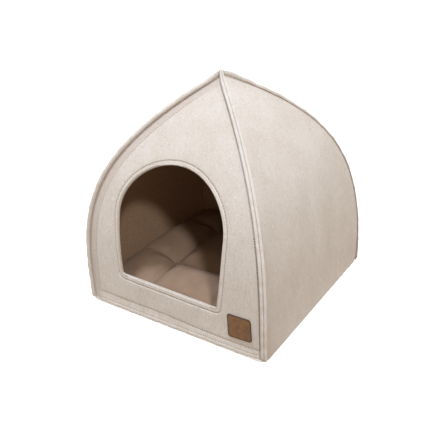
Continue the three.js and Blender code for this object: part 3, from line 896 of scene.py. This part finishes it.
def add_threads(name, rows, radius, thickness):
    """Short round threads: a hexagon carried along each path, closed at both ends, all in one mesh."""
    paths = np.concatenate([path for path, square in rows])
    square = np.concatenate([square for path, square in rows])
    ahead = unit(np.gradient(paths, axis=1))
    side = unit(np.cross(ahead, square))
    up = np.cross(side, ahead)
    turn = np.linspace(0, 2 * np.pi, THREAD_SIDES, endpoint=False)[None, None, :, None]
    ring = np.cos(turn) * side[:, :, None] + np.sin(turn) * up[:, :, None]
    points = paths[:, :, None] + ring * radius * thickness[None, :, None, None]
    count, steps = points.shape[:2]
    one = grid_quads(steps, THREAD_SIDES, around_columns=True)[:, ::-1]
    first = np.arange(count)[:, None, None] * steps * THREAD_SIDES
    sides = (first + one[None]).reshape(-1, 4)
    start = first[:, 0] + np.arange(THREAD_SIDES)
    end = start[:, ::-1] + (steps - 1) * THREAD_SIDES
    return add_mesh(name, points, sides.tolist() + start.tolist() + end.tolist())


# The thread's dark colour is partly its own and partly painted shade of the stitch grooves.
thread, thread_shader, thread_where = new_material("thread", Roughness=0.8, Specular_IOR_Level=0.25)
twist = thread_where.noise((1500, 1500, 1500), 1.0)
feed(thread_shader, Base_Color=twist.ramp((0.3, (0.22, 0.175, 0.14)), (0.7, (0.33, 0.27, 0.22))))

margin_rows = [cross_stitches(WALLS[0])]
seam_rows = []
ground_rows = []
for quarter, wall in enumerate(WALLS):
    for line in margin_lines(wall):
        margin_rows.append([turned(part, quarter) for part in on_felt(wall, line)])
    for side in ("left", "right"):
        seam_rows.append([turned(part, quarter) for part in on_line(*seam_row(wall, side))])
    if wall["foot_row"] > NO_ROW:
        ground_rows.append([turned(part, quarter) for part in on_felt(wall, ground_row())])

door_line = door_in_felt()
door_away = outward(door_line[:-1])
door_away = np.concatenate([door_away, door_away[:1]])
door_reach = mix(RIM_WIDTH, SILL_RIM_WIDTH, np.clip(-door_away[:, 1:], 0, 1))
door_rows = [on_felt(WALLS[0], door_line + door_away * door_reach, lift=-RIM_GROOVE)]

for name, rows in (("margin_stitches", margin_rows), ("seam_stitches", seam_rows),
                   ("ground_stitches", ground_rows), ("doorway_stitches", door_rows)):
    stitches = add_threads(name, rows, STITCH_RADIUS, STITCH_THICK)
    stitches.data.materials.append(thread)
    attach(stitches, "root")


# Floor. One thin square of the same felt with round corners, hidden under the cushion. The walls' ground
# edges are sewn down on its rim.
FLOOR_HALF = 0.1945
FLOOR_THICK = 0.0024
FLOOR_CORNER = 0.016
ARC_POINTS, SIDE_POINTS = 9, 15


def plate(half_x, half_y, corner, insets, heights):
    """Round-cornered plate: an outline carried in by the insets at the heights, from the back to the front.

    Rings by points; an inset beyond half the corner's radius shrinks the whole outline towards the middle."""
    turn = np.linspace(0, np.pi / 2, ARC_POINTS)
    side = np.linspace(0, 1, SIDE_POINTS + 1, endpoint=False)[1:, None]
    centres = np.array([[1, 1], [-1, 1], [-1, -1], [1, -1]]) * [half_x - corner, half_y - corner]
    outline = []
    for quarter, (middle, ahead) in enumerate(zip(centres, np.roll(centres, -1, axis=0))):
        angle = turn + quarter * np.pi / 2
        arc = np.stack([np.cos(angle), np.sin(angle)], -1)
        outline.append(np.concatenate([np.repeat(middle[None], ARC_POINTS, 0), arc], -1))
        outline.append(np.concatenate([mix(middle, ahead, side), np.repeat(arc[-1:], SIDE_POINTS, 0)], -1))
    outline = np.concatenate(outline)
    insets = np.asarray(insets)[:, None, None]
    first = np.minimum(insets, corner / 2)
    shrink = 1 - (insets - first) / (min(half_x, half_y) - corner / 2)
    flat = (outline[None, :, :2] + outline[None, :, 2:] * (corner - first)) * shrink
    height = np.asarray(heights)[:, None, None] + 0 * flat[..., :1]
    return np.concatenate([flat, height], -1)


def plate_faces(rings, points):
    """Quads between the rings of a plate, with a flat face in the middle of its back and of its front."""
    sides = grid_quads(rings, points, around_columns=True).tolist()
    outline = np.arange(points)
    return sides + [outline[::-1].tolist(), (outline + (rings - 1) * points).tolist()]


floor_insets = np.array([0.18, 0.1, 0.03, 0.0012, 0.0003, 0.0, 0.0003, 0.0012, 0.03, 0.1, 0.18])
floor_heights = np.array([0, 0, 0, 0, 0.25, 0.5, 0.75, 1, 1, 1, 1]) * FLOOR_THICK
floor_points = plate(FLOOR_HALF, FLOOR_HALF, FLOOR_CORNER, floor_insets, floor_heights)
floor_piece = add_mesh("felt_floor", floor_points, plate_faces(*floor_points.shape[:2]))
floor_piece.data.materials.append(felt)
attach(floor_piece, "root")
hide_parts("floor")


# Cushion. A square bag of soft tan cloth, well filled, that lies loose on the floor. Four tufts are tied
# through it with thread, and creases run from tuft to tuft and on to the sides.
CUSHION_HALF = 0.1795
CUSHION_REST = 0.0027
CUSHION_SEAM = 0.030
CUSHION_CROWN = 0.075
CUSHION_WAIST = 0.003
CUSHION_ROUND, ROUND_POWER = 0.022, 6
SIDE_POWER, UNDER_POWER = 4, 8
TUFT_X = 0.070
TUFT_Y = 0.074
TUFT_DEPTH = 0.006
TUFT_RADIUS = 0.016
TUFT_HELD = 0.007
CREASE_DEPTH = 0.021
CREASE_WIDTH = 0.016
CREASE_LEFT, CREASE_FADE = 0.4, 0.04
FOLD_RISE, FOLD_COUNT = 0.0016, 7
FOLD_START, FOLD_REACH = 0.012, 0.028
CUSHION_POINTS = 91
CROWDING = 0.8
FILL_FRAMES = 20
FILL_LIMIT = 0.009
GROUND_HELD = 0.002


def cushion_start():
    """Slack cushion: two square faces joined at the rim, the upper a crown with creases and tufts sunk in.

    The crown and the underside fall to the rim as roots of one minus powers of the place across. Creases and
    tufts fall off exponentially. Points crowd towards the rim as a sine does."""
    step = np.sin(np.linspace(-CROWDING, CROWDING, CUSHION_POINTS) * np.pi / 2) / np.sin(CROWDING * np.pi / 2)
    v, u = np.meshgrid(step, step, indexing="ij")
    rounding = 1 - CUSHION_ROUND * np.abs(u * v) ** ROUND_POWER
    x = u * (CUSHION_HALF - CUSHION_WAIST * (1 - v**SIDE_POWER)) * rounding
    y = v * (CUSHION_HALF - CUSHION_WAIST * (1 - u**SIDE_POWER)) * rounding
    fading = mix(1.0, CREASE_LEFT, np.clip((np.abs(x) - TUFT_X) / CREASE_FADE, 0, 1))
    across = fading * np.exp(-np.abs(np.abs(y) - TUFT_Y) / CREASE_WIDTH)
    crease = np.maximum(across, np.exp(-np.abs(np.abs(x) - TUFT_X) / CREASE_WIDTH))
    tuft = np.exp(-np.hypot(np.abs(x) - TUFT_X, np.abs(y) - TUFT_Y) / TUFT_RADIUS)
    fall = np.sqrt((1 - u**SIDE_POWER) * (1 - v**SIDE_POWER))
    crown = CUSHION_CROWN - CUSHION_SEAM - CREASE_DEPTH * crease - TUFT_DEPTH * tuft
    under = np.sqrt((1 - u**UNDER_POWER) * (1 - v**UNDER_POWER))
    top = np.stack([x, y, CUSHION_SEAM + fall * crown], -1)
    bottom = np.stack([x, y, CUSHION_SEAM - under * (CUSHION_SEAM - CUSHION_REST)], -1)
    return np.concatenate([top.reshape(-1, 3), bottom[1:-1, 1:-1].reshape(-1, 3)])


def bag_faces(side):
    """Quads of two square faces that share their rim, the lower one turned over."""
    upper = np.arange(side * side).reshape(side, side)
    lower = upper.copy()
    lower[1:-1, 1:-1] = side * side + np.arange((side - 2) ** 2).reshape(side - 2, side - 2)
    both = np.stack([upper, lower])
    corners = [both[:, :-1, :-1], both[:, :-1, 1:], both[:, 1:, 1:], both[:, 1:, :-1]]
    top, bottom = np.stack(corners, -1).reshape(2, -1, 4)
    return np.concatenate([top, bottom[:, ::-1]])


def fill(piece, held):
    """Points of a bag filled by cloth pressure with its held points pinned, moved no further than a cap."""
    scene = bpy.context.scene
    start = np.empty(len(piece.data.vertices) * 3)
    piece.data.vertices.foreach_get("co", start)
    start = start.reshape(-1, 3)
    piece.vertex_groups.new(name="held").add(held.tolist(), 1.0, "REPLACE")
    cloth = piece.modifiers.new("filling", "CLOTH")
    cloth.settings.use_pressure = True
    cloth.settings.uniform_pressure_force = 5
    cloth.settings.effector_weights.gravity = 0
    cloth.settings.vertex_group_mass = "held"
    cloth.settings.tension_stiffness = 8
    cloth.settings.compression_stiffness = 8
    cloth.settings.bending_stiffness = 0.2
    for number in range(1, FILL_FRAMES + 1):
        scene.frame_set(number)
    filled = piece.evaluated_get(bpy.context.evaluated_depsgraph_get()).data
    end = np.empty(len(start) * 3)
    filled.vertices.foreach_get("co", end)
    move = end.reshape(-1, 3) - start
    size = np.linalg.norm(move, axis=1, keepdims=True)
    piece.modifiers.remove(cloth)
    scene.frame_set(1)
    return start + move * np.minimum(1, FILL_LIMIT / np.maximum(size, 1e-9))


def from_tufts(points):
    """Distances of points from the nearest tuft, across and along the cushion."""
    return np.abs(points[:, 0]) - TUFT_X, np.abs(points[:, 1]) - TUFT_Y


def tuft_folds(points):
    """Height of the small folds round the tufts: a cosine of the angle round each, fading away from it."""
    across, along = from_tufts(points)
    far = np.hypot(across, along)
    start = 3 * np.sign(points[:, 0]) + np.sign(points[:, 1])
    folds = np.cos(FOLD_COUNT * np.arctan2(along, across) + start)
    return FOLD_RISE * folds * np.exp(-far / FOLD_REACH) * np.clip(far / FOLD_START, 0, 1)


cushion_points = cushion_start()
cushion_piece = add_mesh("tufted_cushion", cushion_points, bag_faces(CUSHION_POINTS).tolist())
tied = np.hypot(*from_tufts(cushion_points)) < TUFT_HELD
on_ground = cushion_points[:, 2] < CUSHION_REST + GROUND_HELD
cushion_points = fill(cushion_piece, np.flatnonzero(tied | on_ground))

cushion_top = cushion_points[: CUSHION_POINTS**2]
cushion_top[:, 2] += tuft_folds(cushion_top)
cushion_points[:, :2] = np.clip(cushion_points[:, :2], -CUSHION_HALF, CUSHION_HALF)
cushion_points[:, 2] = np.maximum(cushion_points[:, 2], CUSHION_REST)
cushion_piece.data.vertices.foreach_set("co", cushion_points.ravel())
cushion_piece.data.update()
smoother = cushion_piece.modifiers.new("smooth", "SUBSURF")
smoother.levels = smoother.render_levels = 1

cotton, cotton_shader, cotton_where = new_material(
    "cotton", Sheen_Weight=0.03, Specular_IOR_Level=0.1, Roughness=0.95)
nap = cotton_where.noise((650, 650, 650), 3.0, 0.6)
patches = cotton_where.noise((30, 30, 30), 2.0)
tan = patches.ramp((0.3, (0.245, 0.167, 0.118)), (0.7, (0.298, 0.206, 0.148)))
feed(cotton_shader, Base_Color=(nap.grade(0.35, 0.75) * 0.3).blend(tan, (0.215, 0.145, 0.100, 1)),
     Normal=nap.bump(0.3, 0.0008))
cushion_piece.data.materials.append(cotton)
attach(cushion_piece, "root")
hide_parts("cushion")


# Tuft ties. The stitches' own thread goes through the cushion at each tuft, with two turns drawn tight across
# it and two short ends that stand up.
TIE_RADIUS = 0.0007
TIE_HALF, TIE_LIFT, TIE_SAG = 0.006, 0.0022, 0.004
TIE_END_OUT, TIE_END_RISE = 0.004, 0.010
TURN_ANGLES, END_ANGLES = (0.4, 2.0), (0.9, 2.6)
tie_share = np.linspace(-1, 1, 7)[:, None]
end_share = (tie_share + 1) / 2
tie_rows = []
for sign_x, sign_y in ((-1, -1), (-1, 1), (1, -1), (1, 1)):
    aside = cushion_top[:, :2] - np.array([sign_x * TUFT_X, sign_y * TUFT_Y])
    base = cushion_top[np.argmin(np.hypot(*aside.T))]
    turns = [(angle, TIE_HALF * tie_share, TIE_LIFT - TIE_SAG * tie_share**2)
             for angle in (TURN_ANGLES[0] + sign_x, TURN_ANGLES[1] + sign_x)]
    ends = [(angle, TIE_END_OUT * end_share**2, TIE_END_RISE * end_share)
            for angle in (END_ANGLES[0] * sign_y, END_ANGLES[1] + sign_x)]
    for angle, out, lift in turns + ends:
        flat_way = np.array([np.cos(angle), np.sin(angle), 0])
        path = (base + flat_way * out + UPRIGHT * lift)[None]
        tie_rows.append([path, np.cross(flat_way, UPRIGHT) + 0 * path])
ties = add_threads("tuft_ties", tie_rows, TIE_RADIUS, np.ones(len(tie_share)))
ties.data.materials.append(thread)
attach(ties, "root")


# Patch. A small plain square of brown leather with round corners and a pressed border, sewn flat on the front
# wall beside the doorway. Its cut edge is darker.
PATCH_X = 0.1452
PATCH_HEIGHT = 0.054
PATCH_HALF_X = 0.023
PATCH_HALF_Y = 0.022
PATCH_CORNER = 0.005
PATCH_THICK = 0.0018
PATCH_LIFT = 2 * CLEARANCE
PATCH_TILT = np.radians(3)
PATCH_RIM = 0.0018

# Section of the patch from the middle of its back round the cut edge, over the border and on to the middle of
# its front: how far in from the edge, in millimetres, and the share of the thickness
PATCH_SECTION = np.array([
    (21, 0), (12, 0), (4, 0), (1, 0), (0.3, 0.1), (0, 0.3), (0, 0.7), (0.25, 0.92), (0.8, 1.0), (1.4, 0.97),
    (1.9, 0.78), (2.4, 0.74), (2.9, 0.8), (3.6, 0.98), (5, 1.02), (9, 1.05), (14, 1.06), (21, 1.06),
])
patch_insets = PATCH_SECTION[:, 0] * 0.001
patch_heights = PATCH_SECTION[:, 1] * PATCH_THICK + PATCH_LIFT
patch_flat = plate(PATCH_HALF_X, PATCH_HALF_Y, PATCH_CORNER, patch_insets, patch_heights)
patch_x = PATCH_X + patch_flat[..., 0] * np.cos(PATCH_TILT) - patch_flat[..., 1] * np.sin(PATCH_TILT)
patch_z = PATCH_HEIGHT + patch_flat[..., 0] * np.sin(PATCH_TILT) + patch_flat[..., 1] * np.cos(PATCH_TILT)
patch_share = (patch_z - WALL_FOOT) / WALL_RISE
patch_square = wall_face(WALLS[0], patch_x, patch_share)[1]
patch_points = felt_surface(WALLS[0], patch_x, patch_share) + patch_square * patch_flat[..., 2:]
patch_piece = add_mesh("leather_patch", patch_points, plate_faces(*patch_points.shape[:2]))
patch_rim = np.repeat(np.clip(1.5 - patch_insets / PATCH_RIM, 0, 1), patch_points.shape[1])
patch_piece.data.attributes.new("rim", "FLOAT", "POINT").data.foreach_set("value", patch_rim)
leather, leather_shader, leather_where = new_material("leather", Roughness=0.55, Specular_IOR_Level=0.35)
pores = leather_where.noise((1400, 1400, 1400), 2.0)
clouds = leather_where.noise((120, 120, 120), 2.0)
hide = clouds.ramp((0.3, (0.104, 0.045, 0.011)), (0.7, (0.182, 0.084, 0.023)))
edge = leather_where.node("ShaderNodeAttribute", {"attribute_name": "rim"}, {}, output=2)
feed(leather_shader, Base_Color=edge.blend(hide, (0.045, 0.022, 0.010, 1)), Normal=pores.bump(0.25, 0.0005))
patch_piece.data.materials.append(leather)
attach(patch_piece, "root")
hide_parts("patch")


# Camera. It stands at the viewing angle of the photograph, a little rolled.
CAMERA_PLACE = (0.584129, -0.877743, 0.66552)
CAMERA_AZIMUTH = np.radians(34.671)
CAMERA_ELEVATION = np.radians(26.454)
CAMERA_ROLL = np.radians(-2.693)
CAMERA_WIDTH, CAMERA_LENS = 36, 50.58
camera = bpy.data.objects.new("camera", bpy.data.cameras.new("camera"))
camera.data.sensor_width = CAMERA_WIDTH
camera.data.lens = CAMERA_LENS
back = np.array([
    np.sin(CAMERA_AZIMUTH) * np.cos(CAMERA_ELEVATION),
    -np.cos(CAMERA_AZIMUTH) * np.cos(CAMERA_ELEVATION),
    np.sin(CAMERA_ELEVATION),
])
level = np.array([np.cos(CAMERA_AZIMUTH), np.sin(CAMERA_AZIMUTH), 0])
upward = np.cross(back, level)
across = level * np.cos(CAMERA_ROLL) + upward * np.sin(CAMERA_ROLL)
over = upward * np.cos(CAMERA_ROLL) - level * np.sin(CAMERA_ROLL)
camera.matrix_world = Matrix.Translation(CAMERA_PLACE) @ Matrix(np.stack([across, over, back], -1)).to_4x4()
bpy.context.scene.collection.objects.link(camera)
bpy.context.scene.camera = camera


# Stage. A round white studio: a level floor that turns up into a wall and glows evenly. It throws no shade
# on the tent and adds no soft light.
STAGE_MIDDLE = (0.02, 1.0)
STAGE_TURN = 5.0
STAGE_WALL = 4.0
STAGE_POINTS = 64
stage_arc = np.linspace(0, np.pi / 2, 9)
stage_reach = np.concatenate([STAGE_MIDDLE, STAGE_TURN + np.sin(stage_arc), [STAGE_TURN + 1]])
stage_height = np.concatenate([[0, 0], 1 - np.cos(stage_arc), [STAGE_WALL]])
stage_way = np.linspace(0, 2 * np.pi, STAGE_POINTS, endpoint=False)
stage_points = np.stack([
    stage_reach[:, None] * np.cos(stage_way),
    stage_reach[:, None] * np.sin(stage_way),
    stage_height[:, None] + 0 * stage_way,
], -1)
stage_faces = grid_quads(*stage_points.shape[:2], around_columns=True)[:, ::-1].tolist()
stage = add_mesh("studio", stage_points, stage_faces + [np.arange(STAGE_POINTS).tolist()])
stage.visible_diffuse = False
stage.visible_shadow = False
studio_white = new_material(
    "studio", Base_Color=(0.5, 0.5, 0.5, 1), Roughness=0.9, Emission_Color=(1, 1, 1, 1),
    Emission_Strength=0.78)[0]
stage.data.materials.append(studio_white)


# Lights. One stands off to the right, one steep above the doorway and a weak broad one behind, with an even
# warm light from all around.
def sun(name, azimuth, elevation, spread, colour):
    """A soft light from far off, at an azimuth and an elevation in degrees, spread over an angle in degrees.

    A white sheet square to it comes out in its colour."""
    turn, rise = np.radians(azimuth), np.radians(elevation)
    towards = np.array([np.sin(turn) * np.cos(rise), -np.cos(turn) * np.cos(rise), np.sin(rise)])
    lamp = bpy.data.lights.new(name, "SUN")
    lamp.energy = np.pi
    lamp.angle = np.radians(spread)
    lamp.color = colour
    light = bpy.data.objects.new(name, lamp)
    side = unit(np.cross(UPRIGHT, towards))
    light.matrix_world = Matrix(np.stack([side, np.cross(towards, side), towards], -1)).to_4x4()
    bpy.context.scene.collection.objects.link(light)


sun("side_light", 49, 40, 6, (0.510, 0.515, 0.515))
sun("front_light", -15, 79, 10, (0.615, 0.68, 0.755))
sun("back_light", 215, 38, 30, (0.30, 0.31, 0.32))
world = bpy.data.worlds.new("studio")
world.use_nodes = True
around = world.node_tree.nodes["Background"].inputs
around["Color"].default_value = (1.0, 0.82, 0.63, 1)
around["Strength"].default_value = 0.505
bpy.context.scene.world = world
bpy.context.scene.view_settings.view_transform = "Standard"
